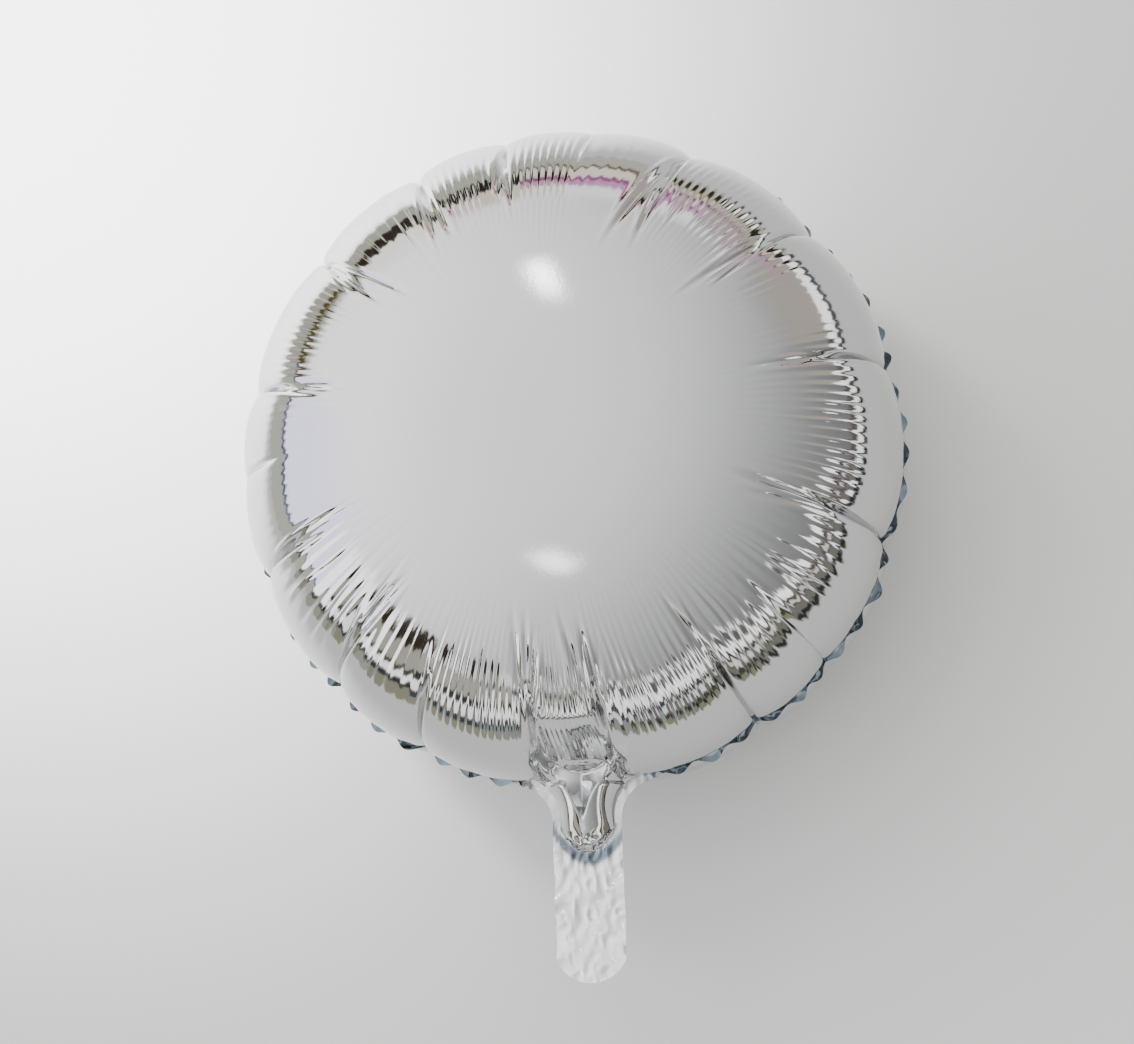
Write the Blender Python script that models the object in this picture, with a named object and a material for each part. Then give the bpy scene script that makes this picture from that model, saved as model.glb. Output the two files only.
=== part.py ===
"""Round foil balloon with its filling tail, filled and lying on its back.

Two film panels, cut alike as a disc with a tongue, are welded together round their edge. Filled, each panel
domes, the edge draws in, and the spare film gathers in lobes with creases between them and in puckers
along the weld. The front panel faces +Z, the tail lies towards -Y, and the origin is the middle of the flat
spot that the back panel rests on. Each panel is a solid half of the filled balloon.
"""

import math
from bisect import bisect_right

import bmesh
import bpy

# Driving sizes, in metres
LOBE_RADIUS = 0.176  # axis to the fullest part of a lobe
PANEL_DEPTH = 0.106  # seam plane to the middle of a panel
LOBE_LIFT = 0.012  # seam plane to the fullest part of a lobe
SEAM_TUCK = 0.005  # weld line inside the fullest part of a lobe
REST_RADIUS = 0.035  # flat spot in the middle of the back panel
CREASE_DEPTH = 0.0055  # a crease below the lobes beside it
MARGIN_WIDTH = 0.0055  # welded film outside the weld line
FILM = 0.0006  # one film at the margin and the tail
FILM_GAP = 0.0003  # clearance between the two films
PUCKER_LENGTH = 0.018  # along the weld line
PUCKER_REACH = 0.0019  # in and out
PUCKER_SWING = 0.0016  # up and down
NECK_FLARE = 0.007  # how much wider the neck is where it leaves the disc, on each side
NECK_HEIGHT = 0.021  # inflated neck above the seam plane, there
NECK_LENGTH = 0.034  # inflated neck beyond that line
NECK_FOLD = 0.009  # fold down the middle of the neck
TAIL_WIDTH = 0.0365
TAIL_LENGTH = 0.101  # beyond the fullest part of the lobes
TAIL_MARGIN = 0.0037  # welded film down each side of the tail and at its end
TAIL_ROUND = 0.012  # rise of the arc at its end
NECK_FILLET = 0.024  # weld line, between the rim and the tail
MARGIN_FILLET = 0.020  # cut edge, between the rim and the tail

# Lobes clockwise from the neck, seen from the front, by how wide each is beside the others
LOBE_SPANS = (21.7, 18.6, 23.1, 18.0, 14.9, 27.0, 23.4, 17.5, 15.7, 18.4, 25.6, 27.2, 30.7, 23.2, 15.7, 25.0)
NECK_PUCKERS = 3

# How far the film has turned from level at each ring of faces, in degrees, with one, two or four columns a pucker
INNER_TURNS = (8.0, 15.0)
MIDDLE_TURNS = (23.0, 36.0, 51.0, 69.0)
TAIL_ROWS = (0.18, 0.36, 0.56, 0.78, 1.0)  # shares of the neck's length
FLAT_ROWS = (0.08, 0.5)  # shares of the flat stretch below it

# Where along a turn the creases and the neck start
CREASE_START = math.radians(28.0)
NECK_TURN = math.radians(45.0)

# Shapes of those forms, which have no size
CREASE_SHARPNESS = 2.6  # more makes a crease narrower
MARGIN_SWING = 1.6  # the cut edge's swing beside the weld line's
NECK_TAPER = 0.65  # share of its height that the neck loses along its length
NECK_SHOULDER = 0.3  # share of its length that the neck lacks at its two sides
FOLD_SPREAD = 0.4  # half width of the neck's fold, as a share of the neck's

# Sizes that follow from those
UPRIGHT = math.pi / 2
ROLL_RADIUS = (LOBE_LIFT**2 + SEAM_TUCK**2) / (2 * SEAM_TUCK)
WELD_TURN = UPRIGHT + 2 * math.atan2(SEAM_TUCK, LOBE_LIFT)
WELD_RADIUS = LOBE_RADIUS - SEAM_TUCK
REST_TURN = math.asin((REST_RADIUS / LOBE_RADIUS) ** 2)
FILM_TOP = FILM_GAP / 2 + FILM
TAIL_HALF = TAIL_WIDTH / 2
CHANNEL_HALF = TAIL_HALF - TAIL_MARGIN
NECK_HALF = CHANNEL_HALF + NECK_FLARE
TAIL_END = LOBE_RADIUS + TAIL_LENGTH
NECK_LOBE = len(LOBE_SPANS)
RISE_STEPS = 64
COLOURS = {"front_panel": (0.80, 0.81, 0.82, 1.0), "back_panel": (0.77, 0.78, 0.79, 1.0)}


def smooth(x):
    x = min(1.0, max(0.0, x))
    return x * x * (3 - 2 * x)


def blend(start, end, share):
    return [(1 - share) * a + share * b for a, b in zip(start, end)]


def rise_sum(start):
    """The height that the film's profile gains from one turn to upright, for a radius of 2."""
    step = (UPRIGHT - start) / RISE_STEPS
    return sum(math.sqrt(math.sin(start + (i + 0.5) * step)) for i in range(RISE_STEPS)) * step


def profile(turn):
    """Distance from the axis and height above the seam plane, down the middle of a lobe.

    Film that can't stretch takes a profile whose distance from the axis is the root of its turn's sine.
    Past upright it rolls in to the weld.
    """
    if turn > UPRIGHT:
        past = turn - UPRIGHT
        return LOBE_RADIUS - ROLL_RADIUS * (1 - math.cos(past)), LOBE_LIFT - ROLL_RADIUS * math.sin(past)
    rise = rise_sum(turn) / rise_sum(0.0)
    return LOBE_RADIUS * math.sqrt(math.sin(turn)), LOBE_LIFT + (PANEL_DEPTH - LOBE_LIFT) * rise


SEAM_HEIGHT = profile(REST_TURN)[1]


def fillet_centre(radius, half, fillet):
    """Centre of the arc that joins a disc of that radius to the side of a tongue."""
    across = half + fillet
    return across, math.sqrt((radius + fillet) ** 2 - across**2)


def rim_reach(off, radius, half, fillet):
    """How far the outline is from the axis, at an angle off the tail's middle line."""
    across, along = fillet_centre(radius, half, fillet)
    if abs(off) >= math.atan2(across, along):
        return radius
    ray = across * math.sin(abs(off)) + along * math.cos(off)
    return ray - math.sqrt(ray**2 - across**2 - along**2 + fillet**2)


def side_reach(out, radius, half, fillet):
    """Half the width of the outline at a distance out along the tail."""
    across, along = fillet_centre(radius, half, fillet)
    if out >= along:
        return half
    return across - math.sqrt(fillet**2 - (along - out) ** 2)


def neck_start():
    """Distance from the axis to the line across the neck's root, between the creases on its two sides."""
    return fillet_centre(*WELD_LINE)[1] - math.sqrt(NECK_FILLET**2 - (NECK_FILLET - NECK_FLARE) ** 2)


WELD_LINE = (WELD_RADIUS, CHANNEL_HALF, NECK_FILLET)
CUT_LINE = (WELD_RADIUS + MARGIN_WIDTH, TAIL_HALF, MARGIN_FILLET)
NECK_START = neck_start()
NECK_OFF = math.atan2(NECK_HALF, NECK_START)
CORNER_SHIFT = rim_reach(NECK_OFF, *CUT_LINE) * math.cos(NECK_OFF) - NECK_START


def row_outs():
    """Distance from the axis to each row of vertices along the tail, the one at its end included."""
    neck_end = NECK_START + NECK_LENGTH
    flat = TAIL_END - TAIL_MARGIN - TAIL_ROUND - neck_end
    return [NECK_START + NECK_LENGTH * row for row in TAIL_ROWS] + [neck_end + flat * row for row in FLAT_ROWS] + [
        TAIL_END - TAIL_MARGIN
    ]


def lobe_angles():
    """Clock angle at which each lobe starts, clockwise from +Y, with the neck's middle at half a turn."""
    share = 2 * (math.pi - NECK_OFF) / sum(LOBE_SPANS)
    starts = [math.pi + NECK_OFF]
    for span in LOBE_SPANS:
        starts.append(starts[-1] + span * share)
    return [*starts, starts[-1] + 2 * NECK_OFF]


def puckers_in(lobe):
    """How many puckers a lobe has along the weld line."""
    arc = (LOBE_ANGLES[lobe + 1] - LOBE_ANGLES[lobe]) * WELD_RADIUS
    return max(2, round(arc / PUCKER_LENGTH))


ROW_OUTS = row_outs()
LOBE_ANGLES = lobe_angles()
PUCKERS = [*map(puckers_in, range(NECK_LOBE)), NECK_PUCKERS]


def clock_of(lobe, across):
    return LOBE_ANGLES[lobe] + across * (LOBE_ANGLES[lobe + 1] - LOBE_ANGLES[lobe])


def lobe_at(clock):
    """The lobe at a clock angle, and how far across it that angle is."""
    first = LOBE_ANGLES[0]
    turned = (clock - first) % (2 * math.pi) + first
    lobe = min(NECK_LOBE, bisect_right(LOBE_ANGLES, turned) - 1)
    return lobe, (turned - LOBE_ANGLES[lobe]) / (LOBE_ANGLES[lobe + 1] - LOBE_ANGLES[lobe])


def weld_reach(off):
    """How far the weld line is from the axis, or the line across the neck's root."""
    if abs(off) < NECK_OFF:
        return NECK_START / math.cos(off)
    return rim_reach(off, *WELD_LINE)


def valley(across):
    """1 in a crease and 0 on the middle of a lobe."""
    return abs(2 * across - 1) ** CREASE_SHARPNESS


def away_from_neck(off):
    """0 at the neck and 1 past the fillet beside it."""
    across, along = fillet_centre(*WELD_LINE)
    return smooth((abs(off) - NECK_OFF) / math.atan2(across, along))


def weld_wave(clock):
    """How far the puckers move the weld line out, and up."""
    lobe, across = lobe_at(clock)
    strength = away_from_neck(clock - math.pi)
    reach = -CREASE_DEPTH * valley(across) - PUCKER_REACH * math.cos(2 * math.pi * PUCKERS[lobe] * across)
    swing = PUCKER_SWING * math.sin(math.pi * PUCKERS[lobe] * across)
    return strength * reach, strength * swing


def on_lobe(clock, turn):
    """Distance from the axis, height above the seam plane and lift with the puckers, of a point on the disc."""
    distance, height = profile(turn)
    valley_here = valley(lobe_at(clock)[1])
    depth = CREASE_DEPTH * valley_here * smooth((turn - CREASE_START) / (UPRIGHT - CREASE_START))
    distance -= depth * math.sin(turn)
    height -= depth * math.cos(turn)
    if turn <= UPRIGHT:
        return distance, height, 0.0
    nearness = ((turn - UPRIGHT) / (WELD_TURN - UPRIGHT)) ** 1.5
    out, lift = weld_wave(clock)
    weld = weld_reach(clock - math.pi) + out
    return (1 - nearness) * distance + nearness * weld, (1 - nearness) * height, nearness * lift


def neck_height(share, out):
    """Height of the inflated neck, from side to side and a distance out from its root."""
    along = min(1.0, out / (NECK_LENGTH * (1 - NECK_SHOULDER * share**2)))
    arch = NECK_HEIGHT * math.sqrt(1 - share**2) * (1 - NECK_TAPER * along) * math.sqrt(1 - along**4)
    fold = NECK_FOLD * math.exp(-((share / FOLD_SPREAD) ** 2)) * (1 - along) ** 1.5
    return max(0.0, arch - fold)


def on_disc(clock, turn):
    """Place of a point of the inflated disc, with its height above the seam plane and its lift."""
    distance, height, lift = on_lobe(clock, turn)
    place = [distance * math.sin(clock), distance * math.cos(clock), height]
    share = (clock - math.pi) / NECK_OFF
    if abs(share) < 1 and turn > NECK_TURN:
        distance, height, _ = on_lobe(clock, NECK_TURN)
        start = [distance * math.sin(clock), distance * math.cos(clock), height]
        root = [-share * NECK_HALF, -NECK_START, neck_height(share, 0.0)]
        along = (turn - NECK_TURN) / (WELD_TURN - NECK_TURN)
        place = blend(place, blend(start, root, along), 1 - share**4)
    return *place, lift


def on_tail(share, row, cut):
    """Plan position of a point of the tail: inside its weld lines, or on its cut edge."""
    line = CUT_LINE if cut else WELD_LINE
    out = ROW_OUTS[row - 1]
    if row == len(ROW_OUTS):
        arc = (line[1] ** 2 + TAIL_ROUND**2) / (2 * TAIL_ROUND)
        bow = arc - math.sqrt(arc**2 - (share * line[1]) ** 2)
        return -share * line[1], -(out + (TAIL_MARGIN if cut else 0.0) - bow)
    shift = CORNER_SHIFT * max(0.0, 1 - (out - NECK_START) / NECK_LENGTH) if cut else 0.0
    return -share * side_reach(out + shift, *line), -(out + shift)


class Panel:
    """One panel's mesh, grown as a flat disc in which the distance from the middle stands for the film's turn."""

    def __init__(self, side):
        self.side = side
        self.bm = bmesh.new()
        self.row = self.bm.verts.layers.int.new("row")
        self.edge = self.bm.verts.layers.int.new("edge")

    def boundary(self):
        return [edge for edge in self.bm.edges if edge.is_boundary]

    def extrude(self, edges):
        """Extrudes edges, and returns the new vertices and edges."""
        made = bmesh.ops.extrude_edge_only(self.bm, edges=edges)["geom"]
        verts = {item for item in made if isinstance(item, bmesh.types.BMVert)}
        return verts, [item for item in made if isinstance(item, bmesh.types.BMEdge) and set(item.verts) <= verts]

    def spread(self, turn):
        """Moves the outermost ring to a turn."""
        for vert in {vert for edge in self.boundary() for vert in edge.verts}:
            vert.co = vert.co.normalized() * turn

    def disc(self):
        """The disc, with a column of faces for each pucker in the middle, and two and four further out."""
        clocks = [clock_of(lobe, i / count) for lobe, count in enumerate(PUCKERS) for i in range(count)]
        verts = bmesh.ops.create_circle(self.bm, cap_ends=True, radius=1.0, segments=len(clocks))["verts"]
        for vert, clock in zip(verts, clocks):
            vert.co = (math.sin(clock), math.cos(clock), 0.0)
        last = REST_TURN
        self.spread(last)
        bmesh.ops.poke(self.bm, faces=self.bm.faces[:])
        outer = [UPRIGHT, (UPRIGHT + WELD_TURN) / 2, WELD_TURN]
        for turns in (map(math.radians, INNER_TURNS), map(math.radians, MIDDLE_TURNS), outer):
            for turn in turns:
                self.extrude(self.boundary())
                self.spread(turn)
                last = turn
            if last < UPRIGHT:
                bmesh.ops.subdivide_edges(self.bm, edges=self.boundary(), cuts=1)
                self.spread(last)

    def tail(self):
        """Rows of faces from the neck's root to the tail's end."""
        edges = [edge for edge in self.boundary() if all(map(self.in_neck, edge.verts))]
        for row in range(1, len(ROW_OUTS) + 1):
            verts, edges = self.extrude(edges)
            for vert in verts:
                vert[self.row] = row

    def in_neck(self, vert):
        return abs(self.clock(vert) - math.pi) < NECK_OFF * (1 + 1e-4)

    def close(self):
        """The welded margin, the cut edge of the film, and the face towards the other panel."""
        for edge in (1, 2, 3):
            verts, edges = self.extrude(self.boundary())
            for vert in verts:
                vert[self.edge] = edge
        bmesh.ops.contextual_create(self.bm, geom=edges)

    def clock(self, vert):
        return math.atan2(vert.co.x, vert.co.y) % (2 * math.pi)

    def place(self, vert):
        """World position of a vertex. Edge 0 is the film's outside, 1 and 2 its cut edge, and 3 its inside."""
        clock, turn, row, edge = self.clock(vert), vert.co.length, vert[self.row], vert[self.edge]
        cut = edge in (1, 2)
        share = max(-1.0, min(1.0, (clock - math.pi) / NECK_OFF))
        film = FILM_TOP if edge < 2 else FILM_GAP / 2
        lift = 0.0
        if row > 0:
            x, y = on_tail(share, row, cut)
            height = 0.0 if edge or row == len(ROW_OUTS) else neck_height(share, -y - NECK_START)
        elif edge == 0:
            x, y, height, lift = on_disc(clock, turn)
        else:
            out, lift = weld_wave(clock)
            reach = rim_reach(clock - math.pi, *(CUT_LINE if cut else WELD_LINE)) + out
            x, y, height = reach * math.sin(clock), reach * math.cos(clock), 0.0
            lift *= MARGIN_SWING if cut else 1.0
        if self.side < 0:
            height = min(height, SEAM_HEIGHT)
        return x, y, SEAM_HEIGHT + lift + self.side * max(height, film)

    def build(self):
        """Draws the flat pattern, splits it into triangles in plan, and inflates it."""
        self.disc()
        self.tail()
        self.close()
        places = {vert: self.place(vert) for vert in self.bm.verts}
        for vert, (x, y, _) in places.items():
            vert.co = (x, y, 0.0)
        bmesh.ops.triangulate(self.bm, faces=self.bm.faces[:], quad_method="FIXED", ngon_method="BEAUTY")
        for vert, place in places.items():
            vert.co = place
        bmesh.ops.recalc_face_normals(self.bm, faces=self.bm.faces[:])
        return self.bm


def foil(name):
    """Metallised film: a mirror with a faint haze."""
    material = bpy.data.materials.new(name + "_foil")
    material.use_nodes = True
    shader = material.node_tree.nodes["Principled BSDF"]
    shader.inputs["Base Color"].default_value = COLOURS[name]
    shader.inputs["Metallic"].default_value = 1.0
    shader.inputs["Roughness"].default_value = 0.14
    return material


def add_panel(name, side):
    mesh = bpy.data.meshes.new(name)
    built = Panel(side).build()
    built.to_mesh(mesh)
    built.free()
    mesh.shade_smooth()
    mesh.set_sharp_from_angle(angle=math.radians(50))
    mesh.materials.append(foil(name))
    panel = bpy.data.objects.new(name, mesh)
    bpy.context.scene.collection.objects.link(panel)


def main():
    for old in list(bpy.data.objects):
        bpy.data.objects.remove(old)
    add_panel("front_panel", 1)
    add_panel("back_panel", -1)


main()
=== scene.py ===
"""Round foil balloon with its filling tail, filled and lying on its back on a pale studio floor.

Two sheets of metallised film, welded together round their edge. Each is grown as a flat disc with a tongue,
and then filled: it domes, and the spare film gathers in lobes, creases, tucks and fine ridges.
"""

import math

import bmesh
import bpy
import numpy as np
from bpy.props import FloatProperty, FloatVectorProperty, PointerProperty
from mathutils import Matrix, Vector


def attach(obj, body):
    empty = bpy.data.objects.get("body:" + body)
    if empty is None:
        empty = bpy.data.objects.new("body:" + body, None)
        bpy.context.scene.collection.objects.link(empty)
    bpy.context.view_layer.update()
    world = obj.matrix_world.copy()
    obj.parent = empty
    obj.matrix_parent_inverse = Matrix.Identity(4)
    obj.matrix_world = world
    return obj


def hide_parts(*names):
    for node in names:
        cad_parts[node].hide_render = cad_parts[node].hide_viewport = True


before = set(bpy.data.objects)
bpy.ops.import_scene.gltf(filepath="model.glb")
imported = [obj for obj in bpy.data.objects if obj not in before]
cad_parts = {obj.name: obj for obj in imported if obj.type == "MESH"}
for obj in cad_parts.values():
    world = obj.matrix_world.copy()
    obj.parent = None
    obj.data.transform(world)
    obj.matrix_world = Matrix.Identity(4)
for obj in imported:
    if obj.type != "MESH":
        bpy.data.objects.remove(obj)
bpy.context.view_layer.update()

bl_info = {
    "name": "Round foil balloon",
    "version": (1, 0, 0),
    "blender": (4, 5, 0),
    "location": "3D Viewport > Sidebar > Balloon",
    "description": "Adds a filled round foil balloon and a pale studio floor",
    "category": "Add Mesh",
}

# Lobes clockwise from the neck, seen from the front: width beside the others, pitch and height of the fine
# ridges in millimetres, how much those wander, and how hard the crease at the lobe's start is
LOBES = (
    (21.7, 4.5, 0.26, 0.2, 1.0),
    (18.6, 7.0, 0.12, 0.4, 0.8),
    (23.1, 9.0, 0.36, 0.3, 1.0),
    (18.0, 6.0, 0.04, 0.3, 0.8),
    (14.9, 6.0, 0.04, 0.3, 0.35),
    (27.0, 5.0, 0.16, 0.3, 0.9),
    (23.4, 9.0, 0.18, 0.6, 1.0),
    (17.5, 5.0, 0.24, 0.3, 0.9),
    (15.7, 4.75, 0.28, 0.2, 0.7),
    (18.4, 8.0, 0.06, 0.5, 0.35),
    (25.6, 5.0, 0.2, 0.4, 1.0),
    (27.2, 6.0, 0.07, 0.4, 1.0),
    (30.7, 5.9, 0.28, 0.25, 0.9),
    (23.2, 7.0, 0.36, 0.8, 1.0),
    (15.7, 6.0, 0.4, 0.8, 0.4),
    (25.0, 5.5, 0.28, 0.6, 0.8),
)
NECK_CREASE = 1.0
NECK_RIDGES = (3.2, 0.2, 0.4)
NECK_PUCKERS = 3
COLUMN_ANGLE = 4.0  # degrees a column in the middle, halved at each of the bands below
BANDS = ((0.10, 0.006), (0.25, 0.006), (0.50, 0.005), (0.62, 0.0035), (1.0, 0.0026))  # out to, row length
TAIL_ROW = 0.0014
# The margin's rows of vertices: how far from the weld line to the cut edge, on the film's outside and inside
MARGIN_ROWS = (0.0, 0.5, 1.0, 1.0, 0.5, 0.0)
OUTSIDE_ROWS = 3
INSIDE = len(MARGIN_ROWS) - 1
UPRIGHT = math.pi / 2
MILLIMETRE = 0.001

# The fine ridges, in shares of the lobe radius: where they begin, how fast they rise and where they fade out
RIDGE_START, RIDGE_RISE = 0.65, 0.15
RIDGE_END, RIDGE_FADE = 0.89, 0.07
FAINT_LEAD, FAINT_RISE, FAINT_HEIGHT = 0.16, 0.1, 0.16  # fainter ones run further inwards
RIDGE_SWAY, RIDGE_SWAY_LENGTH = 0.6, 0.03

# The tucks of a crease: how many there are from that hardness of the crease on, how they fan out for each
# metre of their length, and in metres where they start, how far they reach and half their width
TUCK_COUNTS = ((0.95, 4), (0.5, 3), (0.0, 1))
TUCK_FAN, TUCK_STRAY = 0.07, 0.04
TUCK_START, TUCK_REACH, TUCK_WIDTH = (0.0, 0.012), (0.04, 0.08), (0.0007, 0.0013)

CREASE_SHARPNESS = 2.6  # how closely a crease's sunk sides keep to it
CREASE_FROM, CREASE_FULL = math.radians(28), UPRIGHT  # turns between which creases deepen
NOTCH_FROM, NOTCH_RISE = 0.74, 0.2  # shares of the radius
WELD_FROM = math.radians(76)  # the turn at which a lobe starts to follow its puckered weld
NECK_FROM = math.radians(45)  # the turn at which a lobe starts to lead into the neck
NECK_EDGE, NECK_EDGE_BOW = 0.009, 0.007  # where the neck meets the lobe, before its root: middle and sides
NECK_SLOPES = (0.85, 1.7)  # how steep the lobe is where it leaves the disc, and where it meets the neck
NECK_RIDGE_TURN = math.radians(50)  # the neck's lobe keeps the fine ridges that it has at this turn
NECK_RIDGE_END, NECK_RIDGE_FADE = 0.021, 0.006  # before the neck's root

# The fold across the neck, as shares of its half width and metres past its edge: how wide it is there and
# where it has closed to a V, that V's place off the middle, how soon it is deep and how steep its walls are
FOLD_WIDE, FOLD_NARROW, FOLD_CLOSED = 0.8, 0.09, 0.026
FOLD_ASIDE, FOLD_ASIDE_FROM = 0.06, 0.02
FOLD_DEEP, FOLD_BOW = 0.0045, 0.8
FOLD_END, FOLD_FADE = 0.010, 0.010  # past the neck's root
LIP_HEIGHT, LIP_WIDTH = 0.0012, 0.0016  # of the raised line before the fold

# The tail, in metres past the neck's root: where its film lies flat, the gathers at its pinched collar, and
# the collar's curve across the film and half its width, over which the film is painted darker as shade
TAIL_FLAT, TAIL_FLAT_RISE = 0.018, 0.022
GATHERS, GATHERS_HALF, GATHER_HEIGHT, GATHER_LENGTH = 0.036, 0.007, 0.0005, 0.0065
PINCH, PINCH_BOW, PINCH_LEAN, PINCH_HALF = 0.0385, 0.013, 0.12, 0.0045
SIDE = 0.018  # about half the tail's width
SLACK_FROM, SLACK_EASE = 0.002, 0.004  # past the pinch, where the flat film's look begins
WELD_EASE = 0.12  # radians over which the welded film's painted dark tone begins beside the neck

CRINKLES, CRINKLE_HEIGHT = 460, 0.0005  # round the welded margin
MARGIN_SWING = 0.6  # how much further the cut edge swings than the weld line
SEEDS = {1: 10, -1: 40}  # for the front and the back film
MERGE = 2e-6  # metres between vertices that are one
ORDER = Vector((1.0, 7.3, 31.7))  # the direction along which a film's vertices, edges and faces follow
NEARLY = 1e-4  # share of the neck's width that is taken as its corner


def length(name, default, description):
    """A size in metres."""
    return FloatProperty(
        name=name, description=description, default=default, min=0.0001, precision=4, unit="LENGTH"
    )


class BalloonSizes(bpy.types.PropertyGroup):
    """Sizes of the filled balloon"""

    lobe_radius: length("Lobe radius", 0.176, "Axis to the fullest part of a lobe")
    panel_depth: length("Panel depth", 0.106, "Seam plane to the middle of a panel")
    lobe_lift: length("Lobe lift", 0.012, "Seam plane to the fullest part of a lobe")
    seam_tuck: length("Seam tuck", 0.005, "Weld line inside the fullest part of a lobe")
    rest_radius: length("Rest radius", 0.035, "Flat spot in the middle of the back panel")
    crease_depth: length("Crease depth", 0.0042, "A crease below the lobes beside it")
    notch_depth: length("Notch depth", 0.003, "Sharp fold in the bottom of a crease")
    notch_width: length("Notch width", 0.0016, "Half width of that fold")
    tuck_depth: length("Tuck depth", 0.0013, "Folds that run inwards from a crease")
    margin_width: length("Margin width", 0.0055, "Welded film outside the weld line")
    film: length("Film", 0.00025, "Thickness of one film")
    film_gap: length("Film gap", 0.0001, "Clearance between the two films")
    pucker_length: length("Pucker length", 0.018, "Puckers along the weld line")
    pucker_reach: length("Pucker reach", 0.0019, "How far puckers move the weld line in and out")
    pucker_swing: length("Pucker swing", 0.0018, "How far puckers move the weld line up and down")
    neck_flare: length("Neck flare", 0.007, "How much wider the neck is where it leaves the disc")
    neck_height: length("Neck height", 0.021, "Inflated neck above the seam plane, there")
    neck_length: length("Neck length", 0.034, "Inflated neck beyond that line")
    neck_fold: length("Neck fold", 0.0075, "Fold across and down the middle of the neck")
    tail_width: length("Tail width", 0.0365, "Cut edge to cut edge")
    tail_length: length("Tail length", 0.101, "Tail beyond the fullest part of the lobes")
    tail_margin: length("Tail margin", 0.0037, "Welded film along the tail")
    tail_round: length("Tail round", 0.012, "Rise of the arc at the tail's end")
    neck_fillet: length("Neck fillet", 0.024, "Weld line between the rim and the tail")
    margin_fillet: length("Margin fillet", 0.020, "Cut edge between the rim and the tail")
    crumple: length("Crumple", 0.0014, "Height of the crumples in the flat tail")


def colour(name, default, description):
    """A linear colour."""
    return FloatVectorProperty(
        name=name, description=description, default=default, min=0.0, max=1.0, size=3, subtype="COLOR"
    )


def linear(hex_colour):
    """An sRGB colour such as "c8c9cb" as the linear values that shaders work in."""
    parts = [int(hex_colour[i : i + 2], 16) / 255 for i in (0, 2, 4)]
    return tuple(c / 12.92 if c <= 0.04045 else ((c + 0.055) / 1.055) ** 2.4 for c in parts)


class BalloonFinish(bpy.types.PropertyGroup):
    """Colours and haze of the film"""

    front: colour("Front foil", linear("c4c5c5"), "Metallised film of the front panel")
    back: colour("Back foil", linear("bfc0c1"), "Metallised film of the back panel")
    # The welded foil's dark tone is painted: a dark reflection on the down-turned welded margin, and shade
    # in the pinched collar
    welded: colour("Welded foil", linear("68727b"), "Film of the welded margin and the pinched collar")
    flat: colour("Flat foil", linear("eeeff0"), "Crumpled film of the flat tail")
    haze: FloatProperty(name="Haze", description="Roughness of the film", default=0.07, min=0.0, max=1.0)


class BalloonStudio(bpy.types.PropertyGroup):
    """Floor and camera"""

    floor: colour("Floor", linear("dededc"), "Painted floor")
    floor_radius: length("Floor radius", 1.1, "Middle of the floor to its edge")
    camera_distance: length("Camera distance", 1.8, "Camera to the balloon")
    frame_width: length("Frame width", 0.603, "Width of the picture at the seam")


def smooth(x):
    """A soft step from 0 to 1."""
    x = np.clip(x, 0.0, 1.0)
    return x * x * (3 - 2 * x)


def wrap(angle):
    """The same angle, between half a turn left and half a turn right."""
    return (angle + math.pi) % (2 * math.pi) - math.pi


def noise(u, v, seed, around=251):
    """Smooth noise from -1 to 1 with bumps one unit wide, which repeats after `around` units of u."""
    heights = np.random.default_rng(seed).uniform(-1.0, 1.0, (around, 251))
    i, j = np.floor(u).astype(int), np.floor(v).astype(int)
    a, b = smooth(u - i), smooth(v - j)
    near = heights[i % around, j % 251] * (1 - a) + heights[(i + 1) % around, j % 251] * a
    far = heights[i % around, (j + 1) % 251] * (1 - a) + heights[(i + 1) % around, (j + 1) % 251] * a
    return near * (1 - b) + far * b


def creased_noise(u, v, seed):
    """Noise with sharp folds along its middle level, as crumpled film has."""
    return 1 - 2 * np.abs(noise(u, v, seed))


def fillet_centre(radius, half, fillet):
    """Centre of the arc that joins a disc of that radius to the side of a tongue."""
    across = half + fillet
    return across, math.sqrt((radius + fillet) ** 2 - across**2)


def rim_reach(off, radius, half, fillet):
    """How far the outline is from the axis, at an angle off the tail's middle line."""
    across, along = fillet_centre(radius, half, fillet)
    off = np.abs(off)
    ray = across * np.sin(off) + along * np.cos(off)
    bent = ray - np.sqrt(np.maximum(ray**2 - across**2 - along**2 + fillet**2, 0.0))
    return np.where(off >= math.atan2(across, along), radius, bent)


def side_reach(out, radius, half, fillet):
    """Half the width of the outline at a distance out along the tail."""
    across, along = fillet_centre(radius, half, fillet)
    bent = across - np.sqrt(np.maximum(fillet**2 - (along - out) ** 2, 0.0))
    return np.where(out >= along, half, bent)


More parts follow.
